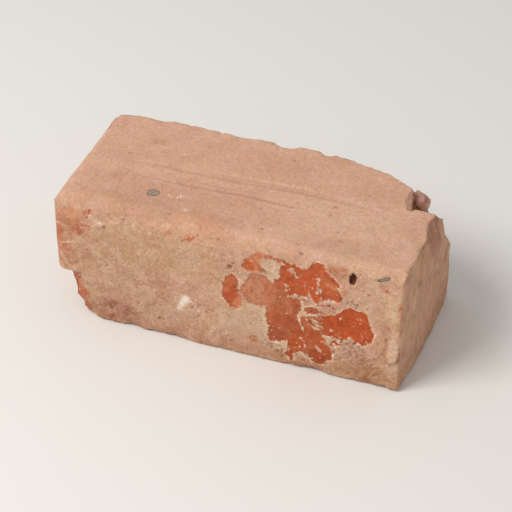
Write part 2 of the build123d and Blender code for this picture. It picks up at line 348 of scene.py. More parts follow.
# %% Find the breaks and the arrises
BACK_LEAN = 3
x, y, z = place.T
to_faces = np.sort([
    x + HALF_LENGTH, HALF_LENGTH - x,
    y + HALF_WIDTH, HALF_WIDTH - y - BACK_LEAN * (1 - z / HEIGHT),
    z, HEIGHT - z,
], axis=0)
big_break = (x > 30) & (y > -25) & (z > 30)
foot_break = (x < -84) & (y < 0) & (z < 37)
worn_back_corner = (x < -88) & (y > 30)
broken = ramp(to_faces[0], 0.9, 2.6) * (big_break | foot_break | worn_back_corner)
broken = np.where(big_break & (to_faces[0] > 4.5), 1, broken)
lump = (np.hypot(x - 96, y - 35) < 8.5) & (x > 91.4) & (z > 62)
arris = 1 - ramp(to_faces[1], 0, 6.5)
print("broken faces:", round(float(broken.mean()) * 100, 1), "% of the skin")
print("the lump:", int(lump.sum()), "points")

# %% [markdown]
# ## Press the relief into the skin
# Each form is a lift in millimetres, mostly inwards: the slow waves of a hand-moulded face, the lumps and
# pits of coarse clay, the nibbled arrises, the rough breaks, and the shallow step where mortar has gone.
# They are added up, and at the end every point is moved along its facing by the sum. Only the flat breaks
# of the lump move points before that, because they cut across its roundness.

# %% Waves, lumps and nibbled arrises
# How high each kind of bump stands, in millimetres
WAVE, SWELL, BUMP, GRAIN, COMB = 0.35, 0.22, 0.16, 0.1, 0.07
lift = WAVE * (broad - 1) + SWELL * middling + (1 - 0.5 * on_top) * (BUMP * small + GRAIN * fine)
lift += COMB * (lumps(3.4, 11, (16, 1, 1)) + 0.6 * lumps(6.5, 12, (14, 1, 1))) * on_top

nibbles = np.clip(lumps(13, 5) - 0.15, 0, 1) * 2.4 + np.clip(lumps(5, 6) - 0.1, 0, 1) * 1.2
front_roll = ramp(-y, 34, 48) * ramp(z, 60, 78)
right_arris = 1 + 0.6 * (x > 105) * (z > 82)
lift -= arris**1.5 * (0.1 + nibbles * (1 - 0.75 * front_roll)) * right_arris
print("nibbled up to", round(float((arris**1.5 * nibbles).max()), 2), "mm deep")


# %% Rough breaks
def ridged(size, seed):
    """Noise folded into sharp ridges, as clay breaks."""
    return 1 - 2 * np.abs(lumps(size, seed))


crumbs = ridged(4.5, 8)
lift += broken * (0.6 * ridged(11, 7) + 0.45 * crumbs + 0.25 * lumps(2.4, 9) - 0.55)
lump_lift = 0.5 * ridged(8, 13) + 0.45 * crumbs + 0.3 * lumps(2.6, 10) - 0.5
lift = np.where(lump, np.minimum(lump_lift, 0.15), lift)

# The lump is not round but broken flat in places: which way each break faces, and how far from the middle
LUMP_MIDDLE = (95.8, 35.0, 79.0)
LUMP_BREAKS = [
    ((0.39, 0.67, 0.63), 4.7), ((-0.08, -0.71, 0.70), 4.6), ((0.87, -0.34, 0.36), 4.5),
    ((0.36, -0.93, 0.05), 4.5),
]
for toward, away in LUMP_BREAKS:
    beyond = np.maximum((place - LUMP_MIDDLE) @ toward - away, 0) * lump * ramp(place[:, 2], 71, 74)
    place = place - np.outer(beyond, toward)
print("the lump is broken flat on", len(LUMP_BREAKS), "sides")

# %% The step at the bare clay
MORTAR_THICK = 0.4
lift -= MORTAR_THICK * ramp(bare, -1.0, 1.4)
print("lift from", round(float(lift.min()), 2), "to", round(float(lift.max()), 2), "mm")

# %% [markdown]
# ## Marks on the top and the front
# The straightedge that struck the top dragged two stones along it and left two long shallow lines.
# Lime lumps and two grey stones sit in the surface, and where a bit of straw burnt out there is a pit.

# %% Drag lines
# Each line: its points as (along, y on the top), and how deep it is in millimetres
DRAG_LINES = [
    ([(-84, -9.2), (-66, -11.4), (-40, -12.0), (-18, -10.8), (10, -9.6), (30, -10.0), (52, -10.2)], 0.55),
    ([(-92, 1.4), (-60, 2.6), (-30, 1.8), (0, 3.0), (30, 4.6), (50, 4.9), (66, 3.8), (84, 2.6)], 0.5),
    ([(-30, 5.5), (10, 6.8), (40, 8.2), (62, 7.6)], 0.22), ([(-70, -5.6), (-30, -6.2), (5, -5.2)], 0.18),
]
GROOVE_WIDE, LIP_WIDE, LIP_AWAY = 1.2, 1.3, 2.2


def bell(distance, width):
    """1 where the distance is 0, falling off softly to both sides."""
    return np.exp(-((distance / width) ** 2))


drag = np.zeros(len(along))
for line, depth in DRAG_LINES:
    wander = place[:, 1] - 0.5 * lumps(22, 31)
    fade_out = ramp(along, line[0][0], line[0][0] + 30) * ramp(along, line[-1][0], line[-1][0] - 30)
    strength = 1.1 * depth * on_top * fade_out * (0.85 + 0.4 * lumps(12, 33))
    drag += strength * bell(stroke_depth(line, 0.0, along, wander), GROOVE_WIDE)
    lift += 0.6 * strength * bell(stroke_depth(line, 0.0, along, wander + LIP_AWAY), LIP_WIDE)
lift -= drag
print("drag lines up to", round(float(drag.max()), 2), "mm deep")

# %% Stones, lime and a scrap of mortar
STONES = [
    [(-60.4, 116.6), (-59, 118.8), (-56, 119.4), (-53.4, 118.6), (-52.4, 116), (-54, 113.4), (-56.5, 112.6),
     (-59.6, 112), (-60.4, 114)],
    [(93.2, 81.8), (95, 83.8), (98, 85.8), (100, 87.4), (102.2, 86.4), (101.2, 84.4), (98.4, 82.8),
     (95, 81.2)],
]
stone = np.where(in_sheet, np.max([outline_depth(outline) for outline in STONES], axis=0), FAR_OUTSIDE)
lift -= 0.35 * bell(stone + 0.2, 0.8)

# Where grains of lime are sprinkled: centre, radii, share
LIME_GRAINS = [
    ((-42, 116), (6.5, 4.5), 1.0), ((-31.4, 105.6), (1.6, 1.6), 1.0), ((-50, 121), (3, 2), 0.6),
    ((-83, 78), (4, 3), 0.6), ((-25, 30), (10, 9), 0.7), ((102, 68), (5, 10), 0.5), ((12, 61), (4, 7), 0.6),
    ((54, 45), (9, 4), 0.5), ((30, 74), (6, 6), 0.6), ((-38, 88), (4, 2), 0.8), ((-18, 73), (6, 4), 0.6),
    ((-75, 17), (7, 3), 0.6), ((36, 15), (6, 4), 0.5), ((76, 22), (9, 9), 0.4),
]
lime_grains = on_sheet * np.max([share * ramp(oval_depth(centre, radii), -1.5, 1.0)
                                 for centre, radii, share in LIME_GRAINS], axis=0)

# Each lime lump: centre, radii, turn, how faded in millimetres
LIME_SPOTS = [
    ((-26.2, 33.2), (2.7, 3.4), -24, 0.0), ((-28.4, 29.8), (2.6, 5.4), -28, 0.9),
    ((-30.4, 25.6), (1.8, 3.4), -24, 1.2), ((-22.7, 32.2), (1.2, 1.2), 0, 0.3),
    ((-82, 77.8), (0.9, 0.7), 0, 0.4), ((-84.6, 78.4), (0.7, 0.6), 30, 0.4),
    ((-80.6, 76.4), (0.7, 0.6), 0, 0.5), ((-88.6, 81.6), (0.8, 0.6), 30, 0.3),
    ((-37.5, 88.2), (0.8, 0.6), 0, 0.6), ((-31.5, 105.4), (1.1, 0.7), -45, 0.3),
    ((-39.6, 117.6), (1.0, 0.6), 60, 0.5), ((-45.4, 115.4), (0.9, 0.6), -30, 0.6),
    ((-78.2, 62.2), (0.7, 0.6), 0, 0.5), ((-54, 160), (0.8, 0.6), 0, 0.6), ((-4, 74), (0.9, 0.5), -60, 0.6),
    ((72, 129), (0.8, 0.6), 0, 0.6),
]
lime = np.max([oval_depth(centre, radii, turn) - faded for centre, radii, turn, faded in LIME_SPOTS], axis=0)
lime = np.where(in_sheet, lime, FAR_OUTSIDE)
lift += 0.3 * ramp(lime, -0.8, 1.2)

# A long scrap of mortar stands proud on the right corner of the front
MORTAR_LENS = [
    (102.6, 27), (103, 22.4), (105.2, 21.6), (108, 24), (109.4, 30), (109, 36), (107, 41), (105, 40.4),
    (103.6, 34),
]
lift += MORTAR_THICK * ramp(outline_depth(MORTAR_LENS), -0.5, 0.6) * on_sheet
print(len(STONES), "stones and", len(LIME_SPOTS), "lime lumps")

# %% [markdown]
# The burnt-out hole is modelled in the solid. Here its rim is softened, and its inside is marked so that
# the material can paint it dark, as painted shade in the hole.

# %% The burnt-out hole
HOLE_MIDDLE, HOLE_REACH, HOLE_DEEP_FROM = (79.4, 78.4), 5.5, 0.8

BURNT_OUT = [
    (77.8, 73.6), (77, 78), (77.8, 81.6), (79.4, 84.4), (80.6, 83), (82.4, 80.6), (81.4, 78.2), (79, 76.6),
]
burnt = np.where(on_front > 0.3, outline_depth(BURNT_OUT), FAR_OUTSIDE)
in_hole = np.hypot(along - HOLE_MIDDLE[0], place[:, 2] - HOLE_MIDDLE[1]) < HOLE_REACH
in_hole &= (place[:, 1] > -HALF_WIDTH + HOLE_DEEP_FROM) & (place[:, 1] < -25)
burnt = np.where(in_hole, 2.0, burnt)
lift = np.where(in_hole, 0, lift - 0.9 * ramp(burnt, -0.2, 1.6))
print("points inside the hole:", int(in_hole.sum()))

# %% [markdown]
# Small pits are where grit has dropped out. The dark ones that show most are placed as on the real brick:
# along the torn edge of the bare patch and over the top. The rest are scattered by a seeded generator,
# all over the brick and then in a few crowds of small ones on the front.

# %% Pits
# Each pit: along, up, radius
PLACED_PITS = [
    (46.8, 90.4, 1.5), (24.4, 70.3, 1.5), (-39, 99, 1.1), (18, 105, 1.2), (52, 140.5, 1.4), (25, 114, 1.1),
    (51.5, 132, 1.0), (43, 98, 1.0), (65, 110, 1.1), (10, 123.5, 1.1), (62, 121, 0.9), (61.6, 118, 0.9),
    (-98, 105, 0.9), (-63, 96, 0.8), (-87, 150, 1.0), (13, 177, 1.3), (-78.6, 74.6, 1.4), (-90, 80, 1.0),
    (83, 60.2, 1.0), (79.6, 61.8, 0.8), (77, 60.4, 0.7), (82, 57.6, 0.8), (77.5, 28.5, 0.9),
    (80.5, 27, 0.8), (83, 24, 1.0), (76, 24, 0.8), (82.6, 31, 1.1), (74, 26.6, 0.7), (85, 28.6, 0.7),
    (71.6, 31.2, 0.9), (68.4, 30.8, 0.8), (3.5, 67.5, 1.0), (1, 65.4, 0.8), (5.2, 70, 0.8), (30, 12.6, 0.9),
    (34, 10.4, 0.9), (36.6, 11.4, 0.8), (46.6, 56.2, 0.8), (52.6, 58.2, 0.7), (44, 27.4, 0.7),
    (73, 61.6, 0.8), (69, 51, 0.6), (65, 9.4, 0.8), (58, 7.4, 0.7), (-18, 85.8, 0.8), (-27.4, 78.8, 0.8),
    (-38.4, 79.4, 0.7), (-44, 13.4, 1.1), (-41.6, 13, 0.9), (-17, 31, 0.8), (-22, 28.4, 0.8),
    (-11, 29.6, 0.7), (-58, 21.4, 0.9), (-18, 22.4, 0.7), (-78, 45.4, 0.8), (-83.4, 62.6, 0.8),
    (89.6, 69.6, 0.9), (-5, 87, 0.8), (-66, 85, 0.9), (89.6, 31.4, 0.8),
]


def pit_share(across, over, radius):
    """1 in a pit at this place of the sheet, 0 beyond its soft edge."""
    return 1 - ramp(np.hypot(along - across, up - over) / radius, 0.3, 1.5)


pit = np.max([pit_share(*placed) for placed in PLACED_PITS], axis=0) * on_sheet

scatter = np.random.default_rng(7)
pick = scatter.choice(len(points), 420, replace=False)
for index, radius in zip(pick, scatter.uniform(0.5, 1.2, len(pick))):
    near = np.abs(place - place[index]).max(axis=1) < 3
    reach = np.linalg.norm(place[near] - place[index], axis=1) / radius
    pit[near] = np.maximum(pit[near], 0.5 * (1 - ramp(reach, 0.2, 1.6)))
print("pits:", len(PLACED_PITS), "placed and", len(pick), "scattered")

# %% Crowds of small pits
# Areas where small pits crowd: centre, radii, how many
PITTED_AREAS = [
    ((79, 21), (11, 11), 46), ((30, 12), (8, 3), 12), ((-70, 12), (15, 7), 26), ((56, 56), (12, 3), 10),
    ((5, 68), (5, 5), 8), ((100, 12), (9, 8), 12), ((-15, 31), (8, 4), 12), ((82, 60), (8, 5), 10),
]
for centre, radii, count in PITTED_AREAS:
    for turn, share, radius in zip(scatter.uniform(0, 2 * np.pi, count),
                                   scatter.uniform(0, 1, count) ** 0.5,
                                   scatter.uniform(0.45, 0.8, count)):
        across = centre[0] + radii[0] * share * np.cos(turn)
        over = centre[1] + radii[1] * share * np.sin(turn)
        pit = np.maximum(pit, 0.75 * pit_share(across, over, radius) * on_front)
print("small pits:", sum(count for centre, radii, count in PITTED_AREAS))

# %% Move the points
PIT_DEPTH, NEAR_THE_BED = 0.7, 1.5
lift -= PIT_DEPTH * pit
# Nothing on the bed stands prouder than the solid, so that the brick rests on the floor and not in it
lift = np.where(place[:, 2] < NEAR_THE_BED, np.minimum(lift, 0), lift)
place = place + facing * lift[:, None]
even.vertices.foreach_set("co", (place * MM).astype(np.float32).ravel())
even.update()
print("moved by", round(float(lift.min()), 2), "to", round(float(lift.max()), 2), "mm")

# %% [markdown]
# ## The broad tones
# Seen from a step back the brick is not one colour. The top is an even pinkish beige, the front has tan,
# pink, grey and cream areas where mortar and lime have soaked in, and its left corner is stained orange.
# Such areas are laid over each other in the order of their lists, and kept as a colour on every point.
# First comes the tone of each side, with the stains of the right end, the breaks and the lump.

# %% Colours as they look, turned to linear light
def linear(hex_colour):
    """An sRGB hex colour as linear red, green and blue."""
    srgb = np.array([int(hex_colour[i:i + 2], 16) for i in (1, 3, 5)]) / 255
    return np.where(srgb <= 0.04045, srgb / 12.92, ((srgb + 0.055) / 1.055) ** 2.4)


TOP_BEIGE, FACE_TAN, END_BUFF, BREAK_PINK, FRESH_CLAY = "#D0A288", "#C89D7E", "#D09E7D", "#C18C74", "#B45A37"
print("the face's tan in linear light:", linear(FACE_TAN).round(3))

# %% Stains of the right end, with its dents shown as painted shade
# Each stain, or dent shown by painted shade: its centre as (y, z), radii, turn, colour, strength
END_AREAS = [
    ((2, 76), (16, 9), -45, "#B27C62", 0.9), ((8, 62), (16, 5), -40, "#C08A70", 0.7),
    ((-24, 65), (5, 2), -30, "#A27C60", 0.8), ((-45, 84), (6, 2.4), -20, "#AE8768", 0.8),
    ((-50, 56), (5, 2.2), -30, "#AE8768", 0.6), ((-5, 54), (5, 2), -30, "#B08A6C", 0.7),
    ((12, 46), (5, 1.8), -30, "#AC8668", 0.6), ((-41, 58), (6, 1.6), -35, "#CB917A", 0.6),
    ((20, 56), (8, 4), -40, "#D2A688", 0.7), ((32, 44), (6, 5), -45, "#BC8464", 0.8),
    ((-36, 14), (6, 2), -30, "#C18C74", 0.6), ((18, 30), (14, 3), -30, "#C3957A", 0.6),
]


def blend(tone, layers):
    """Lays colours over a tone, each as strongly as its weight says at each point."""
    for colour, weight in layers:
        weight = np.clip(weight, 0, 1)[:, None]
        tone = tone * (1 - weight) + linear(colour) * weight
    return tone


def end_area(centre, radii, turn, colour, strength):
    """A stain of the right end, or a dent shown by painted shade, as a layer for blend."""
    depth = oval_depth(centre, radii, turn, place[:, 1], place[:, 2])
    return colour, strength * on_right * ramp(depth, -1.6, 1.6)


print("stains on the right end:", len(END_AREAS))

# %% The tone of each side, of the breaks and of the lump
back_rim = (place[:, 0] < 91.4) * ramp(place[:, 2], 85, 87) * ramp(place[:, 1], 17, 22)
skin_tone = blend(np.ones((len(points), 3)) * linear(FACE_TAN), [
    (TOP_BEIGE, on_top * ramp(up, 80, 98)),
    (END_BUFF, on_right),
    ("#CF987F", on_right * ramp(lumps(12, 41, (1, 2.6, 0.8)), 0.0, 0.8) * 0.8),
    ("#C5A080", on_right * ramp(lumps(7, 42, (1, 3.2, 0.7)), 0.1, 0.8) * 0.8),
    ("#B4825F", on_right * ramp(lumps(6, 46, (1, 0.7, 1.9)), 0.2, 0.9) * 0.7),
    ("#E2B695", on_right * ramp(lumps(5, 47, (1, 0.7, 2.2)), 0.2, 0.9) * 0.7),
    *[end_area(*area) for area in END_AREAS],
    ("#B97F66", hidden * ramp(lumps(40, 43), 0.0, 0.7) * 0.8),
    ("#CBA88A", hidden * ramp(lumps(24, 44), 0.1, 0.8) * 0.8),
    (BREAK_PINK, broken),
    # A darker copy of the break tone on breaks facing right: painted shade
    ("#B27D64", broken * on_right),
    ("#B8643F", broken * foot_break * ramp(-place[:, 1], 40, 46)),
    (TOP_BEIGE, 0.9 * big_break * back_rim),
    ("#B2867A", 1.0 * lump),
    ("#9C705E", lump * ramp(lumps(3.4, 45), 0.1, 0.7)),
    # A painted highlight on the right side of the lump
    ("#D2A896", lump * ramp(place[:, 0], 98.6, 100.4) * ramp(place[:, 2], 73, 78)),
    ("#C89C8A", lump * ramp(place[:, 2], 83.5, 86) * ramp(-place[:, 0], -96, -94)),
])
print("mean tone of the skin:", skin_tone.mean(axis=0).round(3))

# %% [markdown]
# Areas with a clear shape are drawn as outlines and softer ones as ovals. Each has a colour, a strength
# and a softness: over how many millimetres its edge fades. An oval's softness is a share of its size.
# Their edges are broken up by noise, so that no oval can be seen.

# %% Soft areas of the sheet
# Each area: centre, radii, turn, colour, strength
SOFT_AREAS = [
    ((-60, 138), (60, 45), 0, "#CDA184", 0.6), ((30, 165), (50, 22), 0, "#CB9D80", 0.7),
    ((60, 120), (50, 28), 0, "#D1A78A", 0.6), ((-45, 102), (52, 13), 0, "#BD8D72", 0.8),
    ((-50, 89), (58, 6), 0, "#C29276", 0.7), ((-80, 81), (22, 7), 0, "#B98D70", 0.8),
    ((70, 103), (26, 10), 0, "#BF9277", 0.7), ((-40, 121), (56, 11), 0, "#C29177", 0.7),
    ((-18, 99), (13, 7), 0, "#CB9270", 0.6), ((-74, 167), (5, 2.5), 0, "#BC8C74", 0.7),
    ((-84, 126), (4, 2.5), 30, "#BF9078", 0.6), ((-10, 88), (30, 5), 0, "#CC9877", 0.5),
    ((-50, 66), (50, 16), 0, "#C49A77", 0.8), ((-75, 52), (28, 14), 0, "#C49A7C", 0.7),
    ((-50, 56), (18, 11), 0, "#C29A72", 0.7), ((-30, 40), (34, 13), 0, "#C8987F", 0.8),
    ((-60, 28), (36, 12), 0, "#B88D72", 0.7), ((-45, 7), (50, 6), 0, "#BF9076", 0.7),
    ((-50, 39), (14, 13), 0, "#BB8B6E", 0.7), ((-60, 20), (9, 7), 0, "#B28368", 0.7),
    ((-36, 20), (9, 7), 0, "#C8A68C", 0.7), ((-96, 55), (8, 8), 0, "#B9846A", 0.9),
    ((-108, 50), (8, 14), 0, "#C28668", 0.8), ((-24, 76), (9, 6), -20, "#D4AF8C", 0.8),
    ((-24, 64), (10, 8), 0, "#CAA586", 0.7), ((-43, 13.5), (4.5, 2), 0, "#B08060", 0.7),
    ((-20, 30), (7, 3), 20, "#B98A72", 0.6), ((-14, 17), (5, 4), 0, "#CA9472", 0.6),
    ((-75, 50), (5, 5), 0, "#BC8470", 0.5), ((-92, 26), (4, 6), 0, "#C0A07C", 0.6),
    ((10, 74), (14, 12), 0, "#CB9D82", 0.8), ((3, 66), (5, 5), 0, "#C2937A", 0.7),
    ((5, 38), (6, 4), 0, "#CC8C6A", 0.9), ((18.5, 16), (5, 3.8), 0, "#C6805C", 0.9),
    ((-24, 81), (6.5, 3), 26, "#D09A78", 0.6), ((-37, 82), (3.4, 2.4), 30, "#CA8C6A", 0.7),
    ((-89.5, 83.8), (5, 2.6), 35, "#C6805C", 0.8), ((24, 81.6), (4, 2), 10, "#CC8A66", 0.8),
    ((60, 54), (18, 6), 0, "#C99679", 0.9), ((68, 54.5), (7, 3), -10, "#D2A18C", 0.9),
    ((29, 74), (6, 5), 0, "#D0A98C", 0.8), ((92, 66), (20, 20), 0, "#D0A587", 0.7),
    ((96, 34), (9, 15), 0, "#CB987C", 0.85), ((80, 24), (11, 8), 0, "#C0947A", 0.9),
    ((56, 6), (22, 5), 0, "#B78465", 0.8), ((92, 12), (18, 9), 10, "#B88968", 0.9),
    ((92, 5), (6, 5), 0, "#A8744F", 0.7), ((105, 75), (5, 4), 0, "#DCA684", 0.6),
    ((104, 62), (5, 10), 0, "#DBB88E", 0.9), ((105, 30), (4.5, 10), 15, "#D2AA8C", 0.9),
    ((109, 65), (2.5, 5), 0, "#C98262", 0.8), ((101, 42), (2.5, 9), 0, "#C48A6C", 0.6),
]

# %% Drawn areas of the sheet
# Each area: outline, colour, strength, softness
DRAWN_AREAS = [
    ([(-116, 58), (-115, 76), (-110, 85), (-100, 87), (-93, 82), (-87, 76), (-89, 70), (-95, 65),
      (-100, 60), (-99, 55), (-104, 49), (-112, 43)], "#BF8060", 0.9, 3.5),
    ([(-105, 77), (-103, 83), (-99, 86), (-95, 84), (-96, 78), (-100, 75)], "#D08C64", 0.8, 2.5),
    ([(-114, 60), (-113, 69), (-109, 71), (-107, 66), (-109, 60)], "#B86848", 0.8, 2.0),
    ([(-101, 68), (-98, 72), (-93, 74), (-86.5, 75), (-87.5, 71.5), (-91, 68.5), (-96, 65.5)],
     "#B9694A", 0.9, 1.2),
    ([(-110, 52), (-107, 56), (-103, 57), (-104, 53), (-108, 49)], "#BF7050", 0.8, 1.2),
    ([(-107, 46), (-103, 50), (-99, 48), (-99, 42), (-103, 40)], "#B67C62", 0.8, 2.0),
    ([(-86, 20), (-80, 19.5), (-72, 19), (-64, 15), (-61, 9), (-66, 3), (-76, 2), (-86, 4), (-93, 8),
      (-91, 13)], "#B48068", 0.7, 3.0),
    ([(-85, 18.5), (-80, 19), (-74, 18), (-68, 15), (-70, 12), (-76, 13), (-81, 14.5), (-84, 16)],
     "#AC6E58", 0.6, 1.6),
    ([(-69, 16), (-64, 14.5), (-62.5, 11.5), (-66, 10), (-69, 12.5)], "#AC6C56", 0.5, 1.4),
    ([(-78, 9.5), (-74, 11.5), (-70, 8), (-72, 4), (-77, 5)], "#AE674E", 0.8, 1.4),
    ([(-98, 24), (-95, 22), (-91, 20), (-91.5, 16), (-95, 14), (-98, 17)], "#BA6E4A", 0.9, 1.2),
    ([(-1.5, 42), (-3, 52), (0, 60), (4, 64), (9, 62), (10.5, 55), (9, 46), (10, 38), (5, 35), (0.5, 38)],
     "#CC8058", 0.8, 1.5),
    ([(9.8, 53), (12.5, 57), (15.5, 62), (17.5, 66), (22, 67), (26, 65.5), (29.5, 62), (31, 58), (29, 48),
      (27, 44), (21, 42.3), (15.5, 43.5), (12.5, 46)], "#BF8064", 1.0, 0.9),
    ([(12, 47), (14, 45), (13.5, 43), (11.5, 44)], "#D0A080", 0.8, 0.8),
    ([(9.6, 54), (12, 58), (15, 63), (17, 66), (13, 66.5), (9.5, 62)], "#CBA888", 0.9, 1.0),
    ([(10.5, 70), (12, 74.5), (15.5, 77), (18.5, 80.5), (21, 83.5), (25.5, 82.5), (22.5, 79), (20.5, 75),
      (24, 72), (23.5, 69.5), (18, 66.8), (14, 67.3)], "#C67A54", 0.95, 1.6),
    ([(24.5, 72), (23.5, 76), (25.5, 78.6), (30, 78.6), (34.5, 78.6), (35.3, 74), (35, 68.5), (31.5, 64),
      (28, 65.5), (25.5, 68.5)], "#CFAD90", 0.95, 1.0),
    ([(-6, 30), (-3, 36), (4, 37), (12, 41.5), (20, 42.5), (26.5, 40), (27, 33), (28.5, 26), (26, 19),
      (27, 12), (20, 10), (8, 10), (-2, 14)], "#CBA98C", 0.95, 2.5),
    ([(13, 39), (15, 42.8), (21, 42.6), (26.5, 40.5), (27, 34), (29, 27), (27.5, 21), (25, 24), (24, 32),
      (20, 37.5)], "#D5B697", 0.85, 1.2),
    ([(30.5, 14), (33, 17.8), (37, 21.3), (40.5, 20), (41, 14), (37.5, 11.8), (33, 12)],
     "#D0B293", 0.95, 0.8),
    ([(61.5, 79), (62, 84.5), (68, 86.5), (77, 86.5), (76.5, 81), (73, 76.5), (68, 76.5)],
     "#BC7B58", 0.95, 1.5),
    ([(70, 76), (74.5, 76), (78, 72), (76.5, 65.5), (73.5, 62), (72.5, 67)], "#C98563", 0.95, 1.5),
    ([(42, 80), (45, 84), (53, 84), (54, 80), (50, 78.3), (46, 78.3)], "#D6AE90", 0.8, 1.2),
    ([(45.5, 42), (47, 45), (53, 46), (60, 47), (61, 45), (55, 43.5), (50, 42), (50.5, 36), (51, 32),
      (49, 33), (47, 38)], "#DDB391", 1.0, 0.7),
    ([(86, 57), (93, 52), (96, 42), (94, 34), (91, 31), (93.5, 38), (92, 46), (90, 53)],
     "#D4A88C", 0.7, 1.2),
    ([(40, 12), (44, 14), (50, 12), (54, 9.5), (52, 6.5), (44, 6)], "#C99E80", 0.8, 1.5),
    ([(86, 17.5), (92, 20.6), (98, 24.4), (101.6, 29), (103, 22), (108, 12), (104, 6), (92, 6), (86, 10)],
     "#B98A68", 0.6, 0.9),
    ([(97, 21), (99.5, 28), (101, 36), (101.6, 43), (103.6, 42), (103, 34), (102.2, 28), (103, 21),
      (101, 17)], "#B97F62", 0.8, 0.8),
    (MORTAR_LENS, "#D8B497", 1.0, 0.5),
    ([(101.4, 58.4), (101.8, 63), (103.6, 66), (106, 64.4), (107.4, 60.6), (106.2, 57.4), (103.6, 56.6)],
     "#E2C094", 0.9, 1.0),
    ([(102, 70.4), (102.8, 73.6), (105.6, 72.6), (105, 70.2)], "#DDB88F", 0.8, 0.9),
    ([(106.4, 65.6), (107.8, 69), (110.4, 69.4), (110.2, 64.6), (108.8, 61.8), (107.6, 64)],
     "#BE7556", 0.9, 0.8),
]

# %% Lay the areas over the tone
ragged = 1.6 * middling + 1.3 * small + 0.8 * fine


def sheet_area(depth, colour, strength, softness, steady):
    """An area of the sheet as a layer for blend. A sharp edge is made less ragged than a soft one."""
    edge = depth + ragged * min(1, softness / steady)
    return colour, strength * ramp(edge, -softness, softness) * on_sheet


skin_tone = blend(skin_tone, [
    sheet_area(oval_depth(centre, radii, turn), colour, strength, 0.45 * min(radii), 1.5)
    for centre, radii, turn, colour, strength in SOFT_AREAS])
skin_tone = blend(skin_tone, [
    sheet_area(outline_depth(outline), colour, strength, softness, 2.5)
    for outline, colour, strength, softness in DRAWN_AREAS])
print("areas on the sheet:", len(SOFT_AREAS) + len(DRAWN_AREAS))

# %% Streaks
# Each streak: its points, half width, colour, strength
STREAKS = [
    # The first two are painted highlight beside the drag lines on the top
    ([(-30, 149), (0, 150.2), (30, 151.6), (50, 150.8), (66, 148.6), (84, 145.4)], 0.8, "#DDB79B", 0.4),
    ([(-64, 128.4), (-20, 128.6), (20, 130), (50, 129.8)], 0.9, "#D8B094", 0.5),
    ([(-108, 55.6), (-104, 57.2), (-100.4, 59)], 0.7, "#E2B496", 0.9),
    ([(-101.5, 37.6), (-98, 40), (-95.5, 42)], 0.8, "#D8A68A", 0.8),
    ([(-109, 48), (-107.4, 43.5), (-105, 38.6)], 1.1, "#D3A686", 0.8),
    ([(-76, 61), (-72, 57.6), (-69, 54)], 0.5, "#D8B598", 0.7),
    ([(-72, 60.4), (-68, 58.2)], 0.45, "#DAB89C", 0.7), ([(-66, 49), (-63.5, 53.4)], 0.5, "#D6B49A", 0.7),
    ([(-86, 74), (-82, 77.6), (-80, 78)], 1.0, "#D6B696", 0.8),
    ([(-86, 71), (-84, 75)], 0.8, "#CFB090", 0.7),
    ([(-21, 78), (-19, 74), (-17, 69.4)], 0.8, "#D4B492", 0.8),
    ([(-40, 42), (-37, 41.6)], 0.5, "#A67660", 0.7),
    ([(22, 82), (30, 80.8), (36, 80)], 1.3, "#C27B5A", 0.9),
    ([(-80, 17.5), (-77.5, 14), (-76.5, 12)], 0.6, "#9E5A46", 0.8),
    ([(-76, 17.6), (-73, 13.4)], 0.6, "#A05C48", 0.8), ([(-66, 17), (-63, 12)], 0.8, "#A86852", 0.6),
    # A painted shadow along the lower right edge of the raised mortar scrap
    ([(102.2, 22), (104.6, 20.8), (107.4, 21.2), (109.4, 24.6), (110.2, 31)], 0.7, "#8A654C", 0.9),
    ([(87, 17.2), (92, 20.4), (97, 23.6), (99.6, 27.6), (101, 34), (101.4, 40)], 0.5, "#9E7054", 0.8),
    ([(103, 49), (102.6, 44.6), (103.4, 41)], 1.2, "#BE8064", 0.8),
    ([(96, 78.8), (99, 77), (102.2, 75)], 1.3, "#C57E60", 0.8),
    ([(105, 74.6), (105.8, 73.4)], 0.7, "#9C8060", 0.8),
    ([(110, 44), (109.6, 52), (109.4, 60)], 0.9, "#BE8066", 0.7),
    # A dark pit: painted shade in its hollow
    ([(24, 70.4), (25.8, 69.6)], 1.3, "#8A5844", 0.9),
]
skin_tone = blend(skin_tone, [
    (colour, strength * ramp(stroke_depth(line, half_width) + 0.35 * fine, -0.7, 0.5) * on_sheet)
    for line, half_width, colour, strength in STREAKS])
print("streaks:", len(STREAKS))

# %% [markdown]
# The bare clay has its own tone, kept apart from the skin's, because the material decides later, at a
# finer scale than the mesh, which of the two shows.

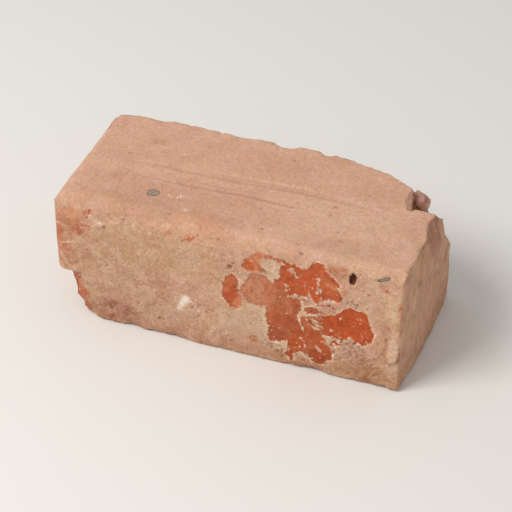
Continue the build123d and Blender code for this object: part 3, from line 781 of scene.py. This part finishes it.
# %% The tone of the bare clay
# Each area: centre, radii, turn, colour, strength, softness
CLAY_AREAS = [
    ((37, 44), (12, 24), 0, "#B96844", 0.95, 2.5), ((36, 50), (6, 10), 10, "#BC714F", 0.8, 2.5),
    ((37, 33), (11, 8), 0, "#AE5A39", 0.9, 2.5), ((34, 24), (8, 7), 0, "#A8553A", 0.8, 1.5),
    ((54, 71), (22, 15), 0, "#C05C35", 0.9, 2.5), ((67, 69.4), (6, 2.2), -14, "#C8825A", 0.9, 0.8),
    ((68, 62.5), (6, 4), 0, "#BE623C", 0.8, 1.0), ((78, 43), (18, 14), 0, "#BE562C", 0.95, 2.0),
    ((56, 20), (16, 13), 0, "#B45832", 0.9, 2.0), ((45, 20), (4, 7), 0, "#C2622F", 0.9, 1.5),
    ((57, 14), (7, 5), 0, "#AC5032", 0.8, 1.5), ((56, 38), (7, 5), 0, "#BA6A45", 0.95, 1.2),
    ((55.5, 48), (7, 3), 0, "#B86A4A", 0.9, 1.0), ((3, 53), (4, 9), -16, "#C66F48", 0.9, 1.5),
    ((4.6, 49), (2.2, 9), -24, "#B4552F", 0.8, 1.2), ((1.6, 43.6), (2.2, 3.4), 0, "#B24A26", 0.7, 1.2),
    ((-96, 72), (16, 14), 0, "#B8694A", 0.9, 3.0), ((-76, 15), (10, 6), 0, "#B06E58", 1.0, 2.0),
    ((-24, 81), (8, 5), 0, "#C0714F", 1.0, 2.0), ((18, 16), (5, 4), 0, "#C87E58", 1.0, 1.0),
    ((20, 54), (12.5, 14), 0, "#C28163", 1.0, 1.5), ((28.5, 51), (3.5, 14), 0, "#BC7050", 0.8, 2.0),
    ((16, 74), (8, 8), 0, "#CB7248", 1.0, 1.5), ((21, 80), (5, 5), 0, "#CE8A66", 0.9, 2.0),
    ((14, 71), (3.5, 3), 0, "#BE6038", 0.8, 1.2), ((8.6, 41.4), (9, 3), 62, "#CC7F5A", 1.0, 1.3),
    ((29, 80.6), (8, 2), 0, "#BA6A4C", 1.0, 1.0), ((-109, 66), (4, 7), 0, "#B96B4C", 1.0, 1.0),
    ((-37.4, 81.6), (4, 3), 0, "#C07C5E", 1.0, 1.0),
]
clay_tone = blend(np.ones((len(points), 3)) * linear(FRESH_CLAY), [
    sheet_area(oval_depth(centre, radii, turn), colour, strength, softness, 2.5)
    for centre, radii, turn, colour, strength, softness in CLAY_AREAS])
print("areas in the bare clay:", len(CLAY_AREAS))

# %% Dirt and painted shade at the foot
# The foot is darkened all round, blue the most: partly dirt and damp, partly painted shade along the bottom
FOOT_HEIGHT, FOOT_DIRT_AND_SHADE = 26, np.array([0.16, 0.22, 0.27])
foot = ramp(place[:, 2], FOOT_HEIGHT, 3)[:, None] * FOOT_DIRT_AND_SHADE
skin_tone, clay_tone = skin_tone * (1 - foot), clay_tone * (1 - foot)
# The left half of the front is made a little darker than the right
LEFT_DARKER = 0.05
left_darker = (LEFT_DARKER * on_front * ramp(along, -25, -60))[:, None]
skin_tone = skin_tone * (1 - left_darker)
print("mean tone of the skin with its dirt:", skin_tone.mean(axis=0).round(3))

# %% [markdown]
# ## Hand the measures to the material
# Each measure becomes an attribute of the mesh's points. The material reads it by name and blends it
# between the points, so a border that noise makes ragged there can be much finer than the mesh.

# %% Store the attributes
# The distances matter only near the borders, so they are cut off a few millimetres away
measures = {
    "bare_clay": np.clip(bare, -6, 6),
    "rimmed": rimmed,
    "flecked": np.maximum(flecked, 0.12),
    "stone": np.clip(stone, -4, 4),
    "lime": np.clip(lime, -4, 4),
    "lime_grains": lime_grains,
    "burnt": np.clip(burnt, -3, 3),
    "drag_line": drag,
    "pit": pit,
    "calm": np.maximum(on_top * ramp(up, 84, 94), 0.6 * on_right),
}
for name, values in measures.items():
    attribute = even.attributes.new(name, "FLOAT", "POINT")
    attribute.data.foreach_set("value", np.asarray(values, np.float32))
for name, tone in {"skin_tone": skin_tone, "clay_tone": clay_tone}.items():
    attribute = even.attributes.new(name, "FLOAT_COLOR", "POINT")
    with_alpha = np.column_stack([tone, np.ones(len(tone))])
    attribute.data.foreach_set("color", with_alpha.astype(np.float32).ravel())
even.polygons.foreach_set("use_smooth", np.ones(len(even.polygons), bool))
print("attributes:", [a.name for a in even.attributes if not a.name.startswith(".")])

# %% [markdown]
# ## Fired clay
# Common brick clay, thrown in a sanded mould and fired at about a thousand degrees: a dry, porous, sandy
# ceramic. The eye sees no gloss at all, a fine salt-and-pepper grain, and strong orange where it is bare.
# It could be painted on a picture, but node noise stays sharp at any distance and needs no unwrapping.
# All pattern sizes are real sizes in millimetres.

# %% A helper that adds a node
material = bpy.data.materials.new("fired_clay")
material.use_nodes = True
tree = material.node_tree
tree.nodes.clear()


def add(kind, inputs=None, out=0, **settings):
    """Adds a node and returns one output. Inputs are values, or outputs to link from."""
    node = tree.nodes.new("ShaderNode" + kind)
    for option, value in settings.items():
        setattr(node, option, value)
    for name, value in (inputs or {}).items():
        if isinstance(value, bpy.types.NodeSocket):
            tree.links.new(value, node.inputs[name])
        else:
            node.inputs[name].default_value = value
    return node.outputs[out] if node.outputs else None


def rgba(hex_colour):
    """An sRGB hex colour as a node's linear colour value."""
    return (*linear(hex_colour), 1.0)


print("new material:", material.name)

# %% [markdown]
# Some nodes have several inputs of one name, so they are numbered here. A map range takes the values
# from 1 to 2 and spreads them from 3 to 4, which are 0 and 1 unless said. A mix lays colour 7 over colour 6,
# as strongly as 0 says. A multiply-add makes 0 times 1, plus 2.
#
# The noise is read in object coordinates, which are metres. Multiplying them by a thousand makes
# one unit a millimetre, so a noise of scale 1 / size has bumps of that size.

# %% Coordinates and measures
object_place = add("TexCoord", out="Object")
in_mm = add("VectorMath", {0: object_place, 1: (1 / MM, 1 / MM, 1 / MM)}, operation="MULTIPLY")
on_point = {name: add("Attribute", out="Fac", attribute_name=name) for name in measures}
print("measures read:", len(on_point))

# %% [markdown]
# Grain comes first. Sand is drawn as little cells with a brightness of their own, which gives the crisp
# salt and pepper that smooth noise can't. Everything larger is smooth noise, from crumbs to clouds.

# %% Sand
SAND, COARSE_SAND = 0.55, 1.25
sand, coarse = [
    add("SeparateColor", {0: add("TexVoronoi", {"Vector": in_mm, "Scale": 1 / size}, "Color")}, channel)
    for size, channel in [(SAND, 0), (COARSE_SAND, 1)]
]
print("sand grains of", SAND, "and", COARSE_SAND, "mm")

# %% Crumbs, grit, blotches and clouds
# Each noise: the size of its bumps in millimetres, its detail and its roughness
BUMP_SIZES = {
    "crumb": (1.5, 3, 0.6), "tear": (2.2, 6, 0.72), "grit": (2.4, 3, 0.6), "fleck": (2.8, 5, 0.62),
    "pink": (4.2, 3, 0.6), "hue": (4.6, 2, 0.5), "blotch": (6.5, 4, 0.6), "drift": (7.0, 3, 0.6),
    "lime": (12.0, 4, 0.6), "cloud": (19.0, 2, 0.5),
}
bumps = {}
for name, (size, detail, roughness) in BUMP_SIZES.items():
    pattern = {"Vector": in_mm, "Scale": 1 / size, "Detail": detail, "Roughness": roughness}
    bumps[name] = add("TexNoise", pattern, "Fac")
print("noises:", ", ".join(bumps))

# %% The dusty skin: its tone, mottled
# Each mottle: where it comes from, its low and high end, and the darkest and lightest shade it makes
MOTTLES = [
    (bumps["blotch"], 0.3, 0.7, 0.94, 1.07), (bumps["grit"], 0.3, 0.7, 0.91, 1.08),
    (coarse, 0.0, 1.0, 0.90, 1.08), (sand, 0.0, 1.0, 0.86, 1.12),
]
shade = 1.0
for source, low, high, dark, light in MOTTLES:
    part = add("MapRange", {"Value": source, 1: low, 2: high, 3: dark, 4: light})
    shade = add("Math", {0: shade, 1: part}, operation="MULTIPLY")
calm = add("MapRange", {"Value": on_point["calm"], 3: 1.0, 4: 0.8})
shade = add("Mix", {0: calm, 2: 1.0, 3: shade}, clamp_factor=False)
skin_colour = add("Attribute", out="Color", attribute_name="skin_tone")
skin_colour = add("VectorMath", {0: skin_colour, "Scale": shade}, operation="SCALE")
print("mottles:", len(MOTTLES))

# %% [markdown]
# Some places are pinker, some sandier: the skin drifts between the two, with a wash of rose over it. Lime
# from the mortar has been smeared on by brush and trowel, so the pale wash is drawn out into slanting
# streaks, and dirt lies between them.

# %% Drift and smears
SANDIER, ROSIER = (0.995, 1.0, 0.93), (1.01, 0.995, 1.07)
sandier, rosier = [add("VectorMath", {0: skin_colour, 1: tint}, operation="MULTIPLY")
                   for tint in (SANDIER, ROSIER)]
drift = add("MapRange", {"Value": bumps["drift"], 1: 0.36, 2: 0.64})
skin_colour = add("Mix", {0: drift, 6: sandier, 7: rosier}, 2, data_type="RGBA")

STREAK_WIDTH, STREAK_LENGTH, STREAK_TILT = 1.2, 3.4, (0.45, 0.8, 0.0)
streak = {"Vector": in_mm, "Rotation": STREAK_TILT, "Scale": (STREAK_WIDTH, STREAK_WIDTH, STREAK_LENGTH)}
smeared = add("Mapping", streak, vector_type="TEXTURE")
smear = add("TexNoise", {"Vector": smeared, "Scale": 1.0, "Detail": 4, "Roughness": 0.65}, "Fac")
lime_wash = add("Math", {0: smear, 1: 0.55, 2: bumps["lime"]}, operation="MULTIPLY_ADD")
print("smears", STREAK_LENGTH, "mm long and", STREAK_WIDTH, "mm wide")

# %% Washes over the skin
pink_most = add("MapRange", {"Value": on_point["calm"], 3: 0.42, 4: 0.2})
lime_most = add("MapRange", {"Value": on_point["calm"], 3: 0.5, 4: 0.2})
# Each wash: where it comes from, where it begins and is full, its strength there, its colour
WASHES = [
    (bumps["cloud"], 0.5, 0.68, 0.3, "#C98E74"),
    (bumps["pink"], 0.48, 0.66, pink_most, "#D6A086"),
    (lime_wash, 0.74, 0.98, lime_most, "#DDBC9E"),
    (smear, 0.42, 0.28, lime_most, "#A4785E"),
]
for source, begins, full, most, wash in WASHES:
    share = add("MapRange", {"Value": source, 1: begins, 2: full, 4: most})
    skin_colour = add("Mix", {0: share, 6: skin_colour, 7: rgba(wash)}, 2, data_type="RGBA")
print("washes:", len(WASHES))

# %% [markdown]
# ## Bare clay
# The distance from the outline gets noise of two sizes before it is turned into a mask with a crisp
# edge. A pale rim runs along that edge: partly broken mortar, partly a painted highlight where the torn
# edge catches the light. The clay itself is crossed by darker cracks and sprinkled with crumbs of mortar.

# %% The ragged mask of the bare clay
TEAR_REACH, FLECK_DEPTH = 1.7, -9.0
tear_mm = add("MapRange", {"Value": bumps["tear"], 1: 0.32, 2: 0.68, 3: -TEAR_REACH, 4: TEAR_REACH})
fleck_most = add("Math", {0: on_point["flecked"], 1: FLECK_DEPTH}, operation="MULTIPLY")
fleck_mm = add("MapRange", {"Value": bumps["fleck"], 1: 0.51, 2: 0.68, 4: fleck_most})
torn = on_point["bare_clay"]
for gnawed in (tear_mm, fleck_mm):
    torn = add("Math", {0: torn, 1: gnawed}, operation="ADD")
bare_mask = add("MapRange", {"Value": torn, 1: -0.15, 2: 0.3}, interpolation_type="SMOOTHSTEP")
print("the outline is gnawed by up to", TEAR_REACH, "mm")

# %% The colour of the bare clay
REDDER, YELLOWER = (0.96, 0.86, 0.83), (1.05, 1.10, 1.0)
clay_tint = add("Attribute", out="Color", attribute_name="clay_tone")
redder, yellower = [add("VectorMath", {0: clay_tint, 1: tint}, operation="MULTIPLY")
                    for tint in (REDDER, YELLOWER)]
hue = add("MapRange", {"Value": bumps["hue"], 1: 0.38, 2: 0.62})
clay_colour = add("Mix", {0: hue, 6: redder, 7: yellower}, 2, data_type="RGBA")
clay_shade = 1.0
for source, low, high, dark, light in [(bumps["blotch"], 0.32, 0.68, 0.89, 1.11),
                                       (bumps["grit"], 0.3, 0.7, 0.88, 1.12), (sand, 0.0, 1.0, 0.90, 1.10)]:
    part = add("MapRange", {"Value": source, 1: low, 2: high, 3: dark, 4: light})
    clay_shade = add("Math", {0: clay_shade, 1: part}, operation="MULTIPLY")
clay_colour = add("VectorMath", {0: clay_colour, "Scale": clay_shade}, operation="SCALE")
print("fired clay from", REDDER, "to", YELLOWER, "of its tone")

# %% Dust, cracks and crumbs on the bare clay
# A crack runs where a stretched noise passes through its middle value
CRACK_SCALE = 0.42
crack = add("TexNoise", {"Vector": smeared, "Scale": CRACK_SCALE, "Detail": 3, "Roughness": 0.55}, "Fac")
crack = add("Math", {0: crack, 1: 0.5}, operation="SUBTRACT")
crack = add("Math", {0: crack}, operation="ABSOLUTE")
crack_most = add("MapRange", {"Value": bumps["cloud"], 1: 0.42, 2: 0.56, 4: 0.8})
masks = {}
for mark, source, begins, full, most, mark_colour in [
    ("dust", lime_wash, 0.84, 1.04, 0.5, "#CB8B68"),
    ("crack", crack, 0.022, 0.006, crack_most, "#8E3F26"),
    ("crumb", bumps["crumb"], 0.7, 0.74, 0.5, "#D9A283"),
]:
    masks[mark] = add("MapRange", {"Value": source, 1: begins, 2: full, 4: most})
    clay_colour = add("Mix", {0: masks[mark], 6: clay_colour, 7: rgba(mark_colour)}, 2, data_type="RGBA")
print("marks on the clay:", ", ".join(masks))

# %% The pale rim, partly a painted highlight, and the two together
rim_beads = add("MapRange", {"Value": bumps["grit"], 1: 0.42, 2: 0.58, 3: 0.25, 4: 0.95})
rim_most = add("Math", {0: on_point["rimmed"], 1: rim_beads}, operation="MULTIPLY")
rim = add("MapRange", {"Value": torn, 1: -1.9, 2: -0.5, 4: rim_most})
skin_colour = add("Mix", {0: rim, 6: skin_colour, 7: rgba("#EFD0B2")}, 2, data_type="RGBA")
colour = add("Mix", {0: bare_mask, 6: skin_colour, 7: clay_colour}, 2, data_type="RGBA")
print("skin and clay joined:", len(tree.nodes), "nodes")

# %% [markdown]
# ## Grains, stones, lime and dark pits
# A few single grains of sand are much darker or much lighter than the rest. Grey grit stones lie flush
# in the face, and lime lumps are nearly white with a soft halo. The pits, the grooves of the drag lines and
# the burnt-out hole are painted dark, as painted shade in their hollows.

# %% Single dark and light grains
GRAIN_CELL = 1.6
grain_tint = add("TexVoronoi", {"Vector": in_mm, "Scale": 1 / GRAIN_CELL}, "Color")
grain_pick = add("SeparateColor", {0: grain_tint}, 2)
grain_spot = add("MapRange", {"Value": grain_tint.node.outputs["Distance"], 1: 0.5, 2: 0.2})
for low, high, most, grain_colour in [(0.93, 1.0, 0.4, "#8E6250"), (0.08, 0.0, 0.6, "#EBD0B8")]:
    grain_most = add("MapRange", {"Value": on_point["calm"], 3: most, 4: most * 0.5})
    picked = add("MapRange", {"Value": grain_pick, 1: low, 2: high, 4: grain_most})
    picked = add("Math", {0: picked, 1: grain_spot}, operation="MULTIPLY")
    colour = add("Mix", {0: picked, 6: colour, 7: rgba(grain_colour)}, 2, data_type="RGBA")
print("single grains in cells of", GRAIN_CELL, "mm")

# %% Stones
STONE_EDGE, STONE_HEART = "#77675B", "#A08E7D"
stone_edge = add("Math", {0: tear_mm, 1: 0.2, 2: on_point["stone"]}, operation="MULTIPLY_ADD")
stone_mask = add("MapRange", {"Value": stone_edge, 1: -0.2, 2: 0.25})
stone_heart = add("MapRange", {"Value": stone_edge, 1: 0.4, 2: 1.4})
stone_mix = {0: stone_heart, 6: rgba(STONE_EDGE), 7: rgba(STONE_HEART)}
stone_colour = add("Mix", stone_mix, 2, data_type="RGBA")
stone_mottle = add("MapRange", {"Value": coarse, 3: 0.72, 4: 1.3})
stone_colour = add("VectorMath", {0: stone_colour, "Scale": stone_mottle}, operation="SCALE")
colour = add("Mix", {0: stone_mask, 6: colour, 7: stone_colour}, 2, data_type="RGBA")
print("stones from", STONE_EDGE, "to", STONE_HEART)

# %% Lime: a halo, a white heart and single specks
lime_edge = add("Math", {0: tear_mm, 1: 0.12, 2: on_point["lime"]}, operation="MULTIPLY_ADD")
for begins, full, most, lime_colour in [(-2.6, 0.6, 0.55, "#DDBBA2"), (-1.1, 1.7, 0.95, "#F6E4D6")]:
    lime_range = {"Value": lime_edge, 1: begins, 2: full, 4: most}
    lime_mask = add("MapRange", lime_range, interpolation_type="SMOOTHSTEP")
    colour = add("Mix", {0: lime_mask, 6: colour, 7: rgba(lime_colour)}, 2, data_type="RGBA")

SPECK_CELL = 1.5
speck_tint = add("TexVoronoi", {"Vector": in_mm, "Scale": 1 / SPECK_CELL}, "Color")
speck_pick = add("SeparateColor", {0: speck_tint}, 0)
speck_spot = {"Value": speck_tint.node.outputs["Distance"], 1: 0.5, 2: 0.25, 4: on_point["lime_grains"]}
speck_picked = add("MapRange", {"Value": speck_pick, 1: 0.76, 2: 0.84, 4: 0.95})
speck_mask = add("Math", {0: add("MapRange", speck_spot), 1: speck_picked}, operation="MULTIPLY")
colour = add("Mix", {0: speck_mask, 6: colour, 7: rgba("#F2DECC")}, 2, data_type="RGBA")
print("lime specks in cells of", SPECK_CELL, "mm")

# %% Painted shade in the pits, the drag lines and the burnt-out hole
for mark, begins, full, most, mark_colour in [
    ("pit", 0.2, 0.9, 0.6, "#7C4C38"),
    ("drag_line", 0.06, 0.55, 0.42, "#AA7A62"),
    ("burnt", -0.3, 0.5, 0.97, "#642F1C"),
]:
    masks[mark] = add("MapRange", {"Value": on_point[mark], 1: begins, 2: full, 4: most})
    colour = add("Mix", {0: masks[mark], 6: colour, 7: rgba(mark_colour)}, 2, data_type="RGBA")
print("all marks:", ", ".join(masks))

# %% [markdown]
# ## Relief finer than the mesh
# A bump node tilts the light as if the surface had these heights. They are in millimetres as well:
# sand and grit, the step down into the bare clay, and the cracks.

# %% Bump
# Each form: where it comes from, and how high it stands in millimetres
EVERYWHERE = [(sand, 0.12), (coarse, 0.12), (bumps["grit"], 0.36), (bumps["blotch"], 0.4), (smear, 0.2)]
IN_PLACES = [(bare_mask, -0.1), (masks["crack"], -0.12), (stone_mask, 0.1), (masks["burnt"], -0.3)]
heights = 0.0
for source, stand in EVERYWHERE:
    heights = add("Math", {0: source, 1: stand, 2: heights}, operation="MULTIPLY_ADD")
calmer = add("MapRange", {"Value": on_point["calm"], 3: 1.0, 4: 0.6})
heights = add("Math", {0: heights, 1: calmer}, operation="MULTIPLY")
for source, stand in IN_PLACES:
    heights = add("Math", {0: source, 1: stand, 2: heights}, operation="MULTIPLY_ADD")
bump = add("Bump", {"Height": heights, "Strength": 1.0, "Distance": MM})
print("heights added up:", len(EVERYWHERE) + len(IN_PLACES))

# %% Shader
ROUGH_CERAMIC, CERAMIC_IOR, DULL_SHEEN = 0.92, 1.5, 0.25
surface = {"Base Color": colour, "Roughness": ROUGH_CERAMIC, "IOR": CERAMIC_IOR,
           "Specular IOR Level": DULL_SHEEN, "Normal": bump}
add("OutputMaterial", {"Surface": add("BsdfPrincipled", surface)})
even.materials.clear()
even.materials.append(material)
print("fired clay:", len(tree.nodes), "nodes")

# %% [markdown]
# ## Take the solid's place
# The skin moves with the only body there is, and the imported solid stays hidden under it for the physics.

# %% Ride and replace
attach(skin, "root")
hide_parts("clay_brick")
print(skin.name, "rides on root in place of clay_brick")

# %% [markdown]
# ## Studio
# A plain pale floor, an even sky all round, and one large soft lamp from the upper left in front,
# so that the top and the front are about equally bright and the right end lies in gentle shade.

# %% Floor
FLOOR_HALF, PAPER, PAPER_ROUGH = 4.0, "#E4E0DA", 0.9
floor_mesh = bpy.data.meshes.new("floor")
corners = [(-1, -1), (1, -1), (1, 1), (-1, 1)]
floor_mesh.from_pydata([(a * FLOOR_HALF, b * FLOOR_HALF, 0) for a, b in corners], [], [(0, 1, 2, 3)])
floor = bpy.data.objects.new("floor", floor_mesh)
bpy.context.scene.collection.objects.link(floor)
paper = bpy.data.materials.new("pale_paper")
paper.use_nodes = True
paper_shader = paper.node_tree.nodes["Principled BSDF"]
paper_shader.inputs["Base Color"].default_value = rgba(PAPER)
paper_shader.inputs["Roughness"].default_value = PAPER_ROUGH
floor_mesh.materials.append(paper)
print("floor:", 2 * FLOOR_HALF, "m wide")

# %% Sky and lamp
SKY = 0.54
world = bpy.data.worlds.new("soft_sky")
bpy.context.scene.world = world
world.use_nodes = True
background = world.node_tree.nodes["Background"]
background.inputs["Color"].default_value = (1, 1, 1, 1)
background.inputs["Strength"].default_value = SKY

TO_LAMP = Vector((-0.42, -0.49, 0.77)).normalized()
LAMP_AWAY, LAMP_SIZE, LAMP_SHARE = 1.8, 0.8, 0.69
softbox = bpy.data.lights.new("softbox", "AREA")
softbox.shape = "SQUARE"
softbox.size = LAMP_SIZE
softbox.energy = LAMP_SHARE * (np.pi * LAMP_AWAY) ** 2
lamp = bpy.data.objects.new("softbox", softbox)
lamp.location = TO_LAMP * LAMP_AWAY
lamp.rotation_euler = TO_LAMP.to_track_quat("Z", "Y").to_euler()
bpy.context.scene.collection.objects.link(lamp)
print("softbox:", LAMP_SIZE, "m wide,", round(softbox.energy, 1), "W at", LAMP_AWAY, "m")

# %% [markdown]
# ## Camera
# It stands where the photo was taken from: a little to the right, and about 38 degrees above the brick.
# A longer lens from the same place keeps that view and fills the frame.

# %% Camera
CAMERA_PLACE = Vector((297.3, -795.9, 705.0)) * MM
AIM = Vector((2.0, -4.0, 40.0)) * MM
LENS, SENSOR = 121, 36
camera_data = bpy.data.cameras.new("camera")
camera_data.lens = LENS
camera_data.sensor_width = SENSOR
camera = bpy.data.objects.new("camera", camera_data)
camera.location = CAMERA_PLACE
camera.rotation_euler = (CAMERA_PLACE - AIM).to_track_quat("Z", "Y").to_euler()
bpy.context.scene.collection.objects.link(camera)
bpy.context.scene.camera = camera
bpy.context.scene.view_settings.view_transform = "Standard"
print("camera:", round((CAMERA_PLACE - AIM).length, 3), "m away, lens", LENS, "mm")

# %% [markdown]
# ## Close
# The skin must not be larger than the solid that it stands for.

# %% Finish
bpy.context.view_layer.update()
